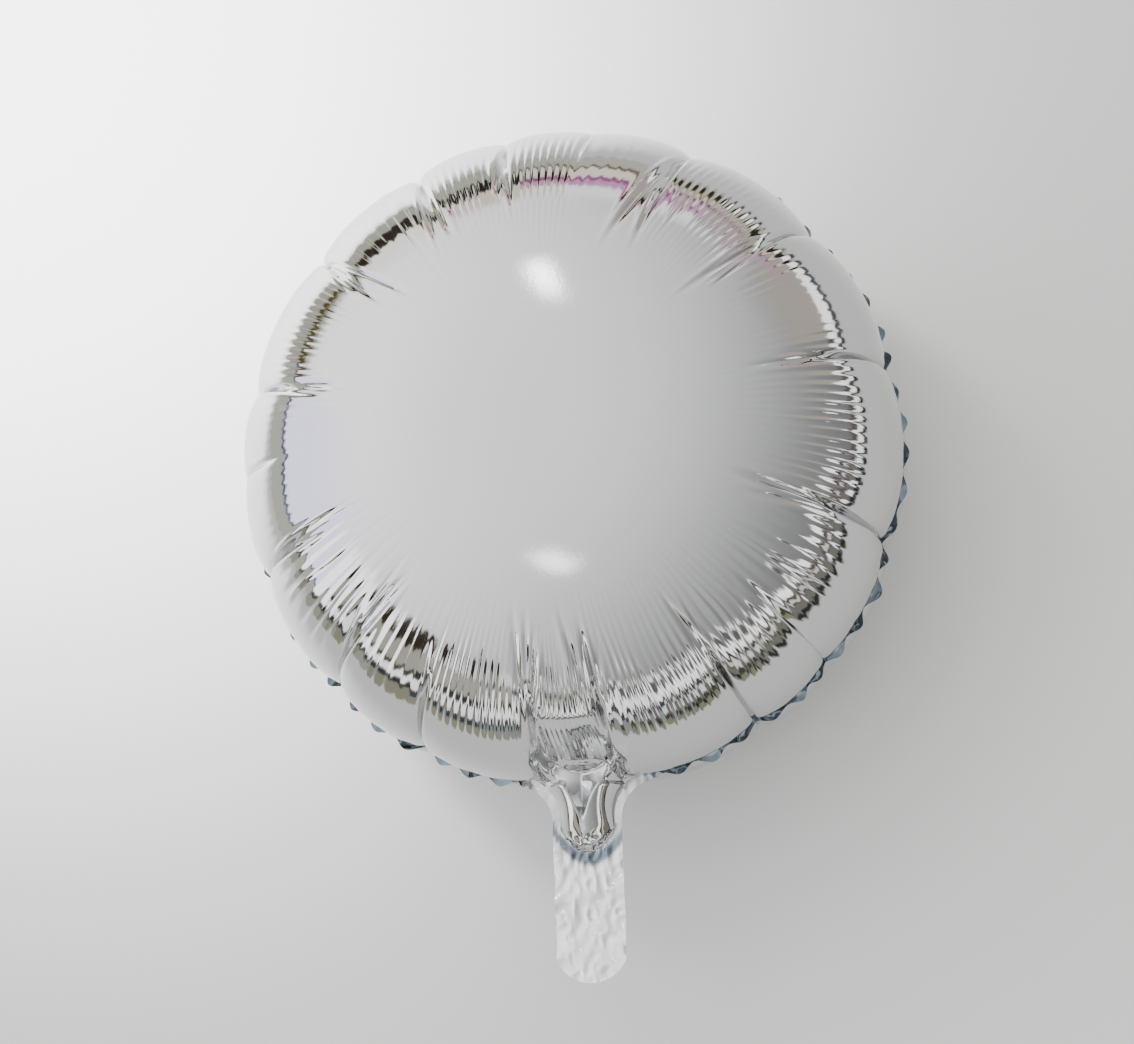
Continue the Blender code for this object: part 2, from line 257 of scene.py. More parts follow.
class Form:
    """The filled balloon's surface, worked out from its sizes. Angles run clockwise from +Y."""

    def __init__(self, size):
        self.size = size
        self.roll = (size.lobe_lift**2 + size.seam_tuck**2) / (2 * size.seam_tuck)
        self.weld_turn = UPRIGHT + 2 * math.atan2(size.seam_tuck, size.lobe_lift)
        self.weld_radius = size.lobe_radius - size.seam_tuck
        self.turns = np.linspace(0.0, UPRIGHT, 2001)
        root = np.sqrt(np.sin(self.turns))
        falls = np.concatenate(([0.0], np.cumsum(root[1:] + root[:-1])))
        self.rises = 1 - falls / falls[-1]
        self.steps = np.linspace(0.0, self.weld_turn, 4001)
        distance, height = self.profile(self.steps)
        self.arcs = np.concatenate(([0.0], np.cumsum(np.hypot(np.diff(distance), np.diff(height)))))
        self.seam_height = float(self.profile(math.asin((size.rest_radius / size.lobe_radius) ** 2))[1])
        tail_half = size.tail_width / 2
        channel_half = tail_half - size.tail_margin
        self.weld_line = (self.weld_radius, channel_half, size.neck_fillet)
        self.cut_line = (self.weld_radius + size.margin_width, tail_half, size.margin_fillet)
        self.neck_half = channel_half + size.neck_flare
        bend = math.sqrt(size.neck_fillet**2 - (size.neck_fillet - size.neck_flare) ** 2)
        self.neck_start = fillet_centre(*self.weld_line)[1] - bend
        self.neck_off = math.atan2(self.neck_half, self.neck_start)
        corner = float(rim_reach(self.neck_off, *self.cut_line)) * math.cos(self.neck_off)
        self.corner_shift = corner - self.neck_start
        self.tail_end = size.lobe_radius + size.tail_length - size.tail_margin
        self.tail_rows = round((self.tail_end - self.neck_start) / TAIL_ROW)
        spans = np.array([lobe[0] for lobe in LOBES])
        ends = math.pi + self.neck_off + np.cumsum(spans) * 2 * (math.pi - self.neck_off) / spans.sum()
        first = math.pi + self.neck_off
        self.angles = np.array([first, *ends, first + 2 * math.pi])
        self.widths = np.diff(self.angles)
        self.pitches, self.heights, self.wanders = (
            np.array([*[lobe[i] for lobe in LOBES], NECK_RIDGES[i - 1]]) for i in (1, 2, 3)
        )
        self.creases = np.array([*[lobe[4] for lobe in LOBES], NECK_CREASE, LOBES[0][4]])
        self.ridges = np.maximum(2, np.round(self.widths * size.lobe_radius / (self.pitches * MILLIMETRE)))
        puckers = np.maximum(2, np.round(self.widths * self.weld_radius / size.pucker_length))
        self.puckers = np.append(puckers[:-1], NECK_PUCKERS)

    def profile(self, turn):
        """Distance from the axis and height above the seam plane, down the middle of a lobe."""
        size = self.size
        past = np.maximum(turn - UPRIGHT, 0.0)
        before = np.minimum(turn, UPRIGHT)
        distance = size.lobe_radius * np.sqrt(np.sin(before)) - self.roll * (1 - np.cos(past))
        rise = (size.panel_depth - size.lobe_lift) * np.interp(before, self.turns, self.rises)
        return distance, size.lobe_lift + rise - self.roll * np.sin(past)

    def inward(self, turn):
        """How far inwards along the film a turn is from the fullest part of the lobes."""
        return np.interp(UPRIGHT, self.steps, self.arcs) - np.interp(turn, self.steps, self.arcs)

    def ring_turns(self, start, end, spacing):
        """Turns of evenly spaced rings from one share of the radius out to another, without the first."""
        first, last = (math.asin(share**2) for share in (start, end))
        last = self.weld_turn if end == 1.0 else last
        arcs = np.interp((first, last), self.steps, self.arcs)
        count = max(1, round((arcs[1] - arcs[0]) / spacing))
        return np.interp(np.linspace(*arcs, count + 1)[1:], self.arcs, self.steps)

    def lobe_at(self, clock):
        """The lobe at a clock angle, and how far across it that angle is."""
        first = self.angles[0]
        turned = (clock - first) % (2 * math.pi) + first
        lobe = np.clip(np.searchsorted(self.angles, turned, side="right") - 1, 0, len(LOBES))
        return lobe, (turned - self.angles[lobe]) / self.widths[lobe]

    def fine_ridges(self, clock, turn, seed):
        """Height of the fine ridges that run inwards, one lobe unlike the next."""
        lobe, across = self.lobe_at(clock)
        share = self.profile(turn)[0] / self.size.lobe_radius
        # 0 at the creases, where neighbouring lobes meet
        ease = np.sin(np.pi * across)
        around = clock / (2 * math.pi)
        along = self.inward(turn) / RIDGE_SWAY_LENGTH
        wander = RIDGE_SWAY * self.wanders[lobe] * ease * noise(around * 97, along, seed, 97)
        phase = 2 * np.pi * (self.ridges[lobe] * across + wander)
        wave = np.sin(phase) + 0.35 * ease * np.sin(2 * phase + 3 * noise(around * 61, share, seed + 1, 61))
        start = RIDGE_START + 0.07 * noise(around * 211, share * 0, seed + 2, 211)
        strong = smooth((share - start) / RIDGE_RISE)
        faint = FAINT_HEIGHT * smooth((share - start + FAINT_LEAD) / FAINT_RISE)
        fade = 1 - smooth((share - RIDGE_END) / RIDGE_FADE)
        uneven = 0.8 + 0.45 * noise(around * 89, share * 9, seed + 3, 89)
        return self.heights[lobe] * MILLIMETRE * np.maximum(strong, faint) * fade * uneven * wave

    def tucks(self, clock, turn, seed):
        """Depth of the folds that fan inwards from each crease."""
        distance = self.profile(turn)[0]
        inward = np.where(turn < UPRIGHT, self.size.lobe_radius - distance, -1.0)
        depth = np.zeros_like(turn)
        for crease, angle in enumerate(self.angles[:-1]):
            random = np.random.default_rng(seed * 100 + crease)
            hard = self.creases[crease]
            count = next(count for least, count in TUCK_COUNTS if hard > least)
            for fold in range(count):
                lean = TUCK_FAN * (fold - (count - 1) / 2) + random.uniform(-TUCK_STRAY, TUCK_STRAY)
                start = random.uniform(*TUCK_START)
                reach = random.uniform(*TUCK_REACH) * hard**0.5
                wide = random.uniform(*TUCK_WIDTH)
                deep = self.size.tuck_depth * random.uniform(0.6, 1.2) * hard**0.5
                side = random.choice((-1, 1))
                along = (inward - start) / reach
                beside = wrap(clock - angle) * distance - lean * np.maximum(inward - start, 0.0)
                here = (np.abs(beside) < 6 * wide) & (along > 0) & (along < 1)
                t = along[here]
                # widest halfway along, with a low swell on one side
                off = beside[here] / (wide * (0.5 + 4 * t * (1 - t)))
                fold_shape = np.exp(-(np.abs(off) ** 1.3))
                swell = 0.55 * np.exp(-(((off - 2.0 * side) / 1.2) ** 2))
                ends = smooth(t / 0.2) * (1 - smooth((t - 0.6) / 0.4))
                depth[here] += deep * (fold_shape - swell) * ends
        return depth

    def valley(self, clock):
        """How far a lobe's sides sink towards the creases beside it."""
        lobe, across = self.lobe_at(clock)
        hard = np.where(across < 0.5, self.creases[lobe], self.creases[lobe + 1])
        return self.size.crease_depth * hard * np.abs(2 * across - 1) ** CREASE_SHARPNESS

    def relief(self, clock, turn, seed):
        """How far the film is sunk below the plain lobes' middle."""
        size = self.size
        lobe, across = self.lobe_at(clock)
        distance, _ = self.profile(turn)
        share = distance / size.lobe_radius
        hard = np.where(across < 0.5, self.creases[lobe], self.creases[lobe + 1])
        sunk = self.valley(clock) * smooth((turn - CREASE_FROM) / (CREASE_FULL - CREASE_FROM))
        beside = np.minimum(across, 1 - across) * self.widths[lobe] * distance
        notch = size.notch_depth * hard * np.exp(-beside / size.notch_width)
        sunk += notch * smooth((share - NOTCH_FROM) / NOTCH_RISE)
        sunk += self.tucks(clock, turn, seed) - self.fine_ridges(clock, turn, seed)
        x, y = distance * np.sin(clock), distance * np.cos(clock)
        slack = 0.15 * noise(x / 0.075 + 9, y / 0.075 + 9, seed + 4)
        slack += 0.05 * noise(x / 0.03, y / 0.03, seed + 5)
        return sunk + slack * MILLIMETRE * smooth((1 - share) / 0.1)

    def weld_reach(self, off):
        """How far the weld line is from the axis, or the line across the neck's root."""
        straight = self.neck_start / np.cos(np.clip(off, -self.neck_off, self.neck_off))
        return np.where(np.abs(off) < self.neck_off, straight, rim_reach(off, *self.weld_line))

    def weld_wave(self, clock):
        """How far the puckers move the weld line out, and up."""
        size = self.size
        lobe, across = self.lobe_at(clock)
        along = fillet_centre(*self.weld_line)
        off = wrap(clock - math.pi)
        strength = smooth((np.abs(off) - self.neck_off) / math.atan2(*along))
        around = clock / (2 * math.pi)
        uneven = 1 + 0.45 * noise(around * 53, around * 0, 31, 53)
        drift = 0.18 * np.sin(np.pi * across) * noise(around * 41, around * 0, 32, 41)
        phase = np.pi * (self.puckers[lobe] * across + drift)
        reach = -self.valley(clock) - size.pucker_reach * uneven * np.cos(2 * phase)
        return strength * reach, strength * size.pucker_swing * uneven * np.sin(phase)

    def neck_rise(self, share, out):
        """Height of the inflated neck, from side to side and a distance out from its root."""
        size = self.size
        along = np.clip(out / (size.neck_length * (1 - 0.3 * share**2)), 0.0, 1.0)
        return size.neck_height * np.sqrt(1 - share**2) * (1 - 0.65 * along) * np.sqrt(1 - along**4)

    def neck_edge(self, share):
        """Where the neck meets the lobe's steep side, as a distance out from its root."""
        return -NECK_EDGE - NECK_EDGE_BOW * share**2

    def neck_crease(self, share, out):
        """Depth of the fold that runs across the neck's edge and closes to a V down its middle."""
        past = out - self.neck_edge(share)
        opened = np.clip(1 - past / FOLD_CLOSED, 0.0, 1.0)
        spread = FOLD_NARROW + (FOLD_WIDE - FOLD_NARROW) * opened
        middle = FOLD_ASIDE * np.clip(past / FOLD_ASIDE_FROM, 0.0, 1.0)
        deep = smooth(past / FOLD_DEEP) * (1 - smooth((out - FOLD_END) / FOLD_FADE))
        walls = np.clip(1 - np.abs(share - middle) / spread, 0.0, 1.0) ** FOLD_BOW
        lip = LIP_HEIGHT * np.exp(-((past / LIP_WIDTH) ** 2)) * (1 - share**4)
        return self.size.neck_fold * deep * walls - lip

    def crumpled(self, x, y):
        """Height of the crumples in the flat film of the tail, which both films share."""
        out = -y - self.neck_start
        flat = smooth((out - TAIL_FLAT) / TAIL_FLAT_RISE)
        # the welds beside the inflated neck crumple less
        web = 0.35 * smooth((out + 0.012) / 0.01) * smooth((np.abs(x) - 0.012) / 0.008)
        gathered = np.exp(-(((out - GATHERS) / GATHERS_HALF) ** 2)) * (1 - 0.5 * np.abs(x) / SIDE)
        big = creased_noise(x / 0.013 + y / 0.03 + 7, y / 0.015 + 40, 71)
        small = creased_noise(x / 0.005 + y / 0.02 + 3, y / 0.0055 - x / 0.012 + 90, 72)
        fine = noise(x / 0.0028 + 3, y / 0.003 + 20, 74)
        stray = 0.8 * noise(x / 0.01 + 5, y / 0.008 + 60, 73)
        gathers = np.cos(2 * np.pi * (x / GATHER_LENGTH + stray))
        rough = self.size.crumple * (0.55 * big + 0.5 * small + 0.12 * fine)
        return (flat + web) * rough + GATHER_HEIGHT * gathered * gathers

    def on_disc(self, clock, turn, seed):
        """Plan position on the inflated disc, height above the seam plane and lift with the puckers."""
        distance, height = self.profile(turn)
        sunk = self.relief(clock, turn, seed)
        distance = distance - sunk * np.sin(turn)
        height = height - sunk * np.cos(turn)
        nearness = np.clip((turn - WELD_FROM) / (self.weld_turn - WELD_FROM), 0.0, 1.0) ** 2
        out, lift = self.weld_wave(clock)
        reach = self.weld_reach(wrap(clock - math.pi)) + out
        distance = (1 - nearness) * distance + nearness * reach
        height = (1 - nearness) * height
        x, y = distance * np.sin(clock), distance * np.cos(clock)
        self.lead_into_neck(clock, turn, seed, x, y, height)
        return x, y, height, nearness * lift

    def lead_into_neck(self, clock, turn, seed, x, y, height):
        """Moves the lobe over the neck: steeply down to the neck's edge, and level from there on."""
        share = wrap(clock - math.pi) / self.neck_off
        inside = (np.abs(share) < 1) & (turn > NECK_FROM)
        share, clock, turn = share[inside], clock[inside], turn[inside]
        from_distance, from_height = self.profile(NECK_FROM)
        run = self.neck_start - from_distance
        run_down = run + self.neck_edge(share)
        dip = self.relief(clock, np.full_like(share, NECK_FROM), seed)
        from_distance = from_distance - dip * math.sin(NECK_FROM)
        from_height = from_height - dip * math.cos(NECK_FROM)
        begin, end = self.inward(NECK_FROM), self.inward(self.weld_turn)
        along = (begin - self.inward(turn)) / (begin - end)
        down = np.clip(along * run / run_down, 0.0, 1.0)
        drop = from_height - self.neck_rise(share, 0.0)
        leave, arrive = (drop - slope * run_down for slope in NECK_SLOPES)
        bend = leave * (1 - down) - arrive * down
        path = (
            from_distance * np.sin(clock) * (1 - along) - share * self.neck_half * along,
            from_distance * np.cos(clock) * (1 - along) - self.neck_start * along,
            from_height - down * drop + down * (1 - down) * bend,
        )
        middle = 1 - share**4
        for place, eased in zip((x, y, height), path):
            place[inside] += middle * (eased - place[inside])
        out = -y[inside] - self.neck_start
        ridges = self.fine_ridges(clock, np.full_like(share, NECK_RIDGE_TURN), seed)
        height[inside] += middle * ridges * smooth((-NECK_RIDGE_END - out) / NECK_RIDGE_FADE)
        height[inside] -= middle * self.neck_crease(share, out)

    def on_tail(self, share, row, line):
        """Plan position on the tail, along its weld line or its cut edge, or between the two sides."""
        size = self.size
        cut = line is self.cut_line
        out = self.neck_start + (self.tail_end - self.neck_start) * row / self.tail_rows
        arc = (line[1] ** 2 + size.tail_round**2) / (2 * size.tail_round)
        bow = arc - np.sqrt(arc**2 - (share * line[1]) ** 2)
        rounding = smooth((row / self.tail_rows - 0.55) / 0.45)
        shift = self.corner_shift * np.maximum(0.0, 1 - (out - self.neck_start) / size.neck_length) * cut
        beyond = size.tail_margin * rounding * cut
        return -share * side_reach(out + shift, *line), -(out + shift + beyond - bow * rounding)

    def unfilled(self, clock, row, edge, x, y):
        """Two shares: film that is welded or pinched in the collar, painted darker as reflection and shade,
        and film that lies flat in the tail.
        """
        off = np.abs(wrap(clock - math.pi))
        out = -y - self.neck_start
        pinch = out - PINCH + PINCH_BOW * (x / SIDE) ** 2 - PINCH_LEAN * x
        # the pinched collar's band, painted darker as shade in the pinch
        collar = np.exp(-((pinch / PINCH_HALF) ** 4)) * (row > 0)
        # the welded margin takes the dark welded tone as a painted reflection, and the collar takes it as
        # painted shade
        weld = np.where((edge > 0) & (row == 0), smooth((off - self.neck_off) / WELD_EASE), collar)
        return weld, np.where(row > 0, smooth((pinch - SLACK_FROM) / SLACK_EASE), 0.0)

    def place(self, side, clock, turn, row, edge):
        """World positions of one film's vertices. Edge counts from the film's outside round its cut edge."""
        size = self.size
        off = wrap(clock - math.pi)
        share = np.clip(off / self.neck_off, -1.0, 1.0)
        in_neck = np.abs(off) < self.neck_off * (1 - NEARLY)
        out_share = np.take(MARGIN_ROWS, edge)
        x, y, height, lift = self.on_disc(clock, turn, SEEDS[side])
        out, swing = self.weld_wave(clock)
        margin = (row == 0) & (edge > 0) & ~in_neck
        inner, outer = rim_reach(off, *self.weld_line), rim_reach(off, *self.cut_line)
        reach = inner + (outer - inner) * out_share + out
        crinkle = CRINKLE_HEIGHT * noise(clock / (2 * math.pi) * CRINKLES, out_share * 2, 81, CRINKLES)
        x[margin] = (reach * np.sin(clock))[margin]
        y[margin] = (reach * np.cos(clock))[margin]
        height[margin] = 0.0
        lift[margin] = (swing * (1 + MARGIN_SWING * out_share) + out_share * crinkle)[margin]
        tail = (row > 0) | (in_neck & (edge > 0))
        weld, cut = self.on_tail(share, row, self.weld_line), self.on_tail(share, row, self.cut_line)
        for place, near, far in zip((x, y), weld, cut):
            place[tail] = (near + (far - near) * out_share)[tail]
        neck_out = -y - self.neck_start
        neck = self.neck_rise(share, neck_out) - self.neck_crease(share, neck_out) * (1 - share**4)
        height[tail] = np.where(edge == 0, np.maximum(neck, 0.0), 0.0)[tail]
        lift[tail] = 0.0
        near_weld = smooth((turn - UPRIGHT) / (self.weld_turn - UPRIGHT))
        lift = lift + np.where((edge > 0) | (row > 0), 1.0, near_weld) * self.crumpled(x, y)
        film = np.where(edge < OUTSIDE_ROWS, size.film_gap / 2 + size.film, size.film_gap / 2)
        if side < 0:
            height = np.minimum(height, self.seam_height)
        return np.stack((x, y, self.seam_height + lift + side * np.maximum(height, film)), axis=1)


class Sheet:
    """One film, grown as a flat disc with a tongue. Distance from the middle stands for the film's turn."""

    def __init__(self, form):
        self.form = form
        self.bm = bmesh.new()
        self.row = self.bm.verts.layers.int.new("row")
        self.edge = self.bm.verts.layers.int.new("edge")
        # weld: share of the dark welded tone, a painted reflection on the margin and painted shade in the
        # collar
        self.weld = self.bm.verts.layers.float.new("weld")
        self.slack = self.bm.verts.layers.float.new("slack")

    def boundary(self):
        """The open edges."""
        return [edge for edge in self.bm.edges if edge.is_boundary]

    def extrude(self, edges):
        """Extrudes edges, and returns the new vertices and edges."""
        made = bmesh.ops.extrude_edge_only(self.bm, edges=edges)["geom"]
        verts = {item for item in made if isinstance(item, bmesh.types.BMVert)}
        rungs = [item for item in made if isinstance(item, bmesh.types.BMEdge)]
        return verts, [edge for edge in rungs if verts.issuperset(edge.verts)]

    def spread(self, edges, turn):
        """Moves the outermost ring to a turn."""
        for vert in {vert for edge in edges for vert in edge.verts}:
            vert.co = vert.co.normalized() * turn

    def disc(self):
        """The disc, whose columns double from each band to the next."""
        form = self.form
        columns = np.maximum(1, np.round(np.degrees(form.widths) / COLUMN_ANGLE)).astype(int)
        clocks = [
            form.angles[lobe] + form.widths[lobe] * i / count
            for lobe, count in enumerate(columns)
            for i in range(count)
        ]
        verts = bmesh.ops.create_circle(self.bm, cap_ends=True, radius=1.0, segments=len(clocks))["verts"]
        for vert, clock in zip(verts, clocks):
            vert.co = (math.sin(clock), math.cos(clock), 0.0)
        start = BANDS[0][0] / 4
        edges = self.boundary()
        self.spread(edges, math.asin(start**2))
        bmesh.ops.poke(self.bm, faces=self.bm.faces[:])
        for end, spacing in BANDS:
            turns = form.ring_turns(start, end, spacing)
            for turn in turns:
                edges = self.extrude(edges)[1]
                self.spread(edges, turn)
            if end < 1.0:
                bmesh.ops.subdivide_edges(self.bm, edges=edges, cuts=1)
                edges = self.boundary()
                self.spread(edges, turns[-1])
            start = end

    def tail(self):
        """Rows of faces from the neck's root to the tail's end. Returns the tail's faces."""
        limit = self.form.neck_off * (1 + NEARLY)
        edges = [
            edge
            for edge in self.boundary()
            if all(abs(wrap(self.clock(vert) - math.pi)) < limit for vert in edge.verts)
        ]
        disc = set(self.bm.faces)
        for row in range(1, self.form.tail_rows + 1):
            verts, edges = self.extrude(edges)
            for vert in verts:
                vert[self.row] = row
        return [face for face in self.bm.faces if face not in disc]

    def close(self, tail):
        """The welded margin, the cut edge and the film's inside along the tail."""
        edges = self.boundary()
        for edge in range(1, len(MARGIN_ROWS)):
            verts, edges = self.extrude(edges)
            for vert in verts:
                vert[self.edge] = edge
        made = bmesh.ops.duplicate(self.bm, geom=tail)["geom"]
        for item in made:
            if isinstance(item, bmesh.types.BMVert):
                item[self.edge] = INSIDE

    def clock(self, vert):
        """A vertex's clock angle in the flat pattern."""
        return math.atan2(vert.co.x, vert.co.y) % (2 * math.pi)

    def fill(self, side):
        """Inflates the flat pattern and closes the side towards the other film."""
        verts = self.bm.verts[:]
        flat = np.array([vert.co for vert in verts])
        row = np.array([vert[self.row] for vert in verts])
        edge = np.array([vert[self.edge] for vert in verts])
        clock = np.arctan2(flat[:, 0], flat[:, 1]) % (2 * math.pi)
        turn = np.hypot(flat[:, 0], flat[:, 1])
        places = self.form.place(side, clock, turn, row, edge)
        weld, slack = self.form.unfilled(clock, row, edge, places[:, 0], places[:, 1])
        for vert, place, weld_and_painted_shade, loose in zip(verts, places.tolist(), weld, slack):
            vert.co = place
            vert[self.weld] = weld_and_painted_shade
            vert[self.slack] = loose
        inside = [vert for vert in verts if vert[self.edge] == INSIDE]
        bmesh.ops.remove_doubles(self.bm, verts=inside, dist=MERGE)
        self.sort()
        mouth = bmesh.ops.contextual_create(self.bm, geom=self.boundary())["faces"]
        bmesh.ops.triangulate(self.bm, faces=mouth, quad_method="BEAUTY", ngon_method="BEAUTY")
        bmesh.ops.recalc_face_normals(self.bm, faces=self.bm.faces[:])
        if not all(edge.is_manifold for edge in self.bm.edges):
            raise RuntimeError("A film isn't closed all round: its sizes don't fit together")

    def sort(self):
        """Puts vertices, edges and faces in order of place. The operators leave an order that varies."""
        self.bm.verts.sort(key=lambda vert: vert.co.dot(ORDER))
        for items in (self.bm.edges, self.bm.faces):
            items.sort(key=lambda item: math.fsum(vert.co.dot(ORDER) for vert in item.verts))

    def build(self, side):
        """The filled film. Side is 1 for the front and -1 for the back."""
        self.disc()
        self.close(self.tail())
        self.fill(side)
        return self.bm


def add_node(tree, kind, inputs=(), **settings):
    """Adds a shader node, sets it, and sets or links its inputs."""
    node = tree.nodes.new(kind)
    for name, value in settings.items():
        setattr(node, name, value)
    for name, value in dict(inputs).items():
        if isinstance(value, bpy.types.NodeSocket):
            tree.links.new(value, node.inputs[name])
        else:
            node.inputs[name].default_value = value
    return node


def new_material(name):
    """A material, its node tree and its shader."""
    material = bpy.data.materials.new(name)
    material.use_nodes = True
    return material, material.node_tree, material.node_tree.nodes["Principled BSDF"]


def metallised_film(name, foil, finish):
    """Vacuum-metallised film: a near mirror whose rolling marks and handling leave a faint haze."""
    material, tree, shader = new_material(name)
    place = add_node(tree, "ShaderNodeTexCoord").outputs["Object"]
    cloudy = add_node(tree, "ShaderNodeTexNoise", {"Vector": place, "Scale": 18.0, "Detail": 3.0})
    rough = add_node(
        tree,
        "ShaderNodeMapRange",
        {"Value": cloudy.outputs["Fac"], "To Min": finish.haze * 0.7, "To Max": finish.haze * 1.4},
    )
    fine = add_node(tree, "ShaderNodeTexNoise", {"Vector": place, "Scale": 420.0, "Detail": 2.0})
    bump = add_node(
        tree, "ShaderNodeBump", {"Height": fine.outputs["Fac"], "Strength": 0.04, "Distance": 0.0004}
    )
    weld = add_node(tree, "ShaderNodeAttribute", attribute_name="weld").outputs["Fac"]
    slack = add_node(tree, "ShaderNodeAttribute", attribute_name="slack").outputs["Fac"]
    tone = (*foil, 1.0)
    # mixes in the dark welded tone (painted reflection on the margin, painted shade in the collar), then the
    # flat tail's film
    for share, shade in ((weld, finish.welded), (slack, finish.flat)):
        mixed = add_node(tree, "ShaderNodeMix", {0: share, 6: tone, 7: (*shade, 1.0)}, data_type="RGBA")
        tone = mixed.outputs[2]
    sheen = add_node(tree, "ShaderNodeMapRange", {"Value": slack, "To Min": 1.0, "To Max": 0.5})
    for output, socket in (
        (tone, "Base Color"),
        (rough.outputs["Result"], "Roughness"),
        (sheen.outputs["Result"], "Metallic"),
        (bump.outputs["Normal"], "Normal"),
    ):
        tree.links.new(output, shader.inputs[socket])
    return material


def add_film(context, name, side, node):
    """Adds one panel of film in place of the frame's node of that name."""
    built = Sheet(Form(context.scene.balloon_sizes)).build(side)
    mesh = bpy.data.meshes.new(name)
    built.to_mesh(mesh)
    built.free()
    mesh.shade_smooth()
    mesh.set_sharp_from_angle(angle=math.radians(70))
    finish = context.scene.balloon_finish
    foil = finish.front if side > 0 else finish.back
    mesh.materials.append(metallised_film(name + "_metallised_film", foil, finish))
    film = bpy.data.objects.new(name, mesh)
    context.scene.collection.objects.link(film)
    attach(film, "root")
    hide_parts(node)


class BALLOON_OT_front(bpy.types.Operator):
    """Adds the front film, with its half of the welded margin and the tail"""

    bl_idname = "balloon.front"
    bl_label = "Add front foil"

    def execute(self, context):
        add_film(context, "front_foil", 1, "front_panel")
        return {"FINISHED"}


class BALLOON_OT_back(bpy.types.Operator):
    """Adds the back film, which the balloon lies on"""

    bl_idname = "balloon.back"
    bl_label = "Add back foil"

    def execute(self, context):
        add_film(context, "back_foil", -1, "back_panel")
        return {"FINISHED"}


# The studio's walls, which the film mirrors: the compass direction of a stretch clockwise from +Y, half its
# width and how softly it fades into the dome, all in degrees, and then what stands there from the floor up,
# each thing with the elevation of its top, its colour and its brightness
WALLS = (
    (5, 18, 3, (-1, "d5d2c4", 1.3), (1.5, "8c7560", 0.9), (9.5, "eadfd4", 1.9), (12, "c65fa8", 0.9),
     (15.5, "e6a8d4", 1.4), (24, "ffffff", 1.9)),
    (29, 9, 2, (-6, "d0cec0", 1.3), (1.5, "4a4234", 0.7), (6, "e0d5c4", 1.7), (9, "b06aa0", 0.9),
     (14, "dcb8d6", 1.3)),
    (52, 13, 9, (-9, "cfcfc4", 1.3), (-4.5, "6f7073", 0.6), (2, "ffffff", 2.5), (30, "d6ccc2", 1.1)),
    (84, 17, 1, (-9.5, "c9c8bc", 1.2), (-5, "2a2a28", 0.8), (-0.5, "ffffff", 2.4), (4, "8d7f78", 0.7)),
    (125, 20, 1, (-8, "b5b5a5", 1.1), (-3, "3a3b42", 0.8), (4, "9c9a90", 0.9), (5.5, "3a3a40", 0.8),
     (9, "d9d5d0", 2.0), (13, "6a5142", 0.9), (20, "ffffff", 2.8)),
    (161, 13, 1, (-4, "a8a88e", 1.0), (2, "65684c", 0.7), (8, "dddddd", 2.1), (13, "5c5850", 0.7),
     (20, "ffffff", 2.6), (28, "8e8c86", 0.8), (31, "ffffff", 2.0)),
    (183, 8, 1, (2, "b0b4b8", 1.1), (8, "60666e", 0.7), (26, "ffffff", 2.4), (30, "777777", 0.9)),
    (203, 11, 1, (-2, "b0ae9c", 1.1), (3, "4a5d76", 0.7), (12, "ffffff", 2.2), (18, "55534e", 0.7),
     (30, "c9c6bb", 1.3), (38, "ffffff", 1.6)),
    (226, 12, 1, (0, "aaa894", 1.1), (4, "3a3a3a", 0.8), (11, "ffffff", 2.4), (15, "544a3c", 0.7),
     (27, "c4c0b4", 1.3), (39, "554838", 0.7)),
    (250, 12, 4, (-1, "b9b8ac", 1.2), (2, "6a6a6a", 0.7), (36, "ffffff", 3.4)),
    (277, 15, 14, (1.5, "cfd0c4", 1.4), (3.5, "4b4a9a", 0.6), (36, "e6e4fb", 3.0)),
    (304, 12, 3, (0, "c4c2b2", 1.3), (5, "8a8040", 0.6), (9, "b5b094", 1.1)),
    (325, 8, 5, (-2, "c6c4b6", 1.3), (8, "51463a", 0.7), (19, "efe9e2", 2.6)),
    (343, 8, 2, (0, "c4c2b2", 1.3), (10, "453d30", 0.7), (19, "e6d9cd", 1.8)),
)
# Soft lamps in the dome: compass direction and half width, elevation and half height, and brightness
LAMPS = ((346, 5.5, 55, 9, 6.0), (226, 33, 79, 3.8, 2.6))
DOME_LEAN = (-0.95, 0.42, 0.66)  # how the logarithm of the dome's brightness grows along X, Y and Z
DOME_LEVEL = -0.22  # that logarithm in the middle between its bright and its dark side
BRIGHTEST = 4.0  # the world's strength, of which its colours are shares
RAMP_LOW, RAMP_HIGH = -15.0, 60.0  # degrees of elevation
WOBBLE = 7.0  # degrees that the things' tops wander up and down
WALL_EDGE, THING_EDGE = 0.8, 0.4  # degrees, half the width of the soft edges of walls and things

SOFTBOX_WAY, SOFTBOX_DISTANCE, SOFTBOX_SIZE, SOFTBOX_WATTS = (-0.5, 0.5, 1.1), 1.3, 0.7, 9.0
SOFTBOX_AIM = (-0.4, 0.34, 0.0)  # the point on the floor that it faces
SOFTBOX_SPREAD = math.radians(24)  # how wide its grid lets the light out
CAMERA_AIM = (-0.0053, -0.033)  # the point in the seam plane that it looks at
CAMERA_WAY = (0.146, -0.203, 0.968)  # from there to the camera
CAMERA_ROLL = math.radians(1.95)  # how far the top of the picture is turned from +Y towards +X


def wall_ramp(tree, level, fade, things):
    """The colours of one stretch of wall by elevation, with the dome showing where its alpha is 0."""
    ramp = add_node(tree, "ShaderNodeValToRGB", {"Fac": level})
    shades = [(*[part * bright / BRIGHTEST for part in linear(shade)], 1.0) for _, shade, bright in things]
    clear = (*shades[-1][:3], 0.0)
    stops = [(RAMP_LOW, shades[0])]
    for (top, *_), below, above in zip(things, shades, [*shades[1:], clear]):
        soft = fade if above is clear else THING_EDGE
        stops += [(top - soft, below), (top + soft, above)]
    points = ramp.color_ramp.elements
    points.remove(points[1])
    points[0].position = 0.0
    points[0].color = stops[0][1]
    for elevation, shade in stops[1:]:
        points.new((elevation - RAMP_LOW) / (RAMP_HIGH - RAMP_LOW)).color = shade
    return ramp.outputs


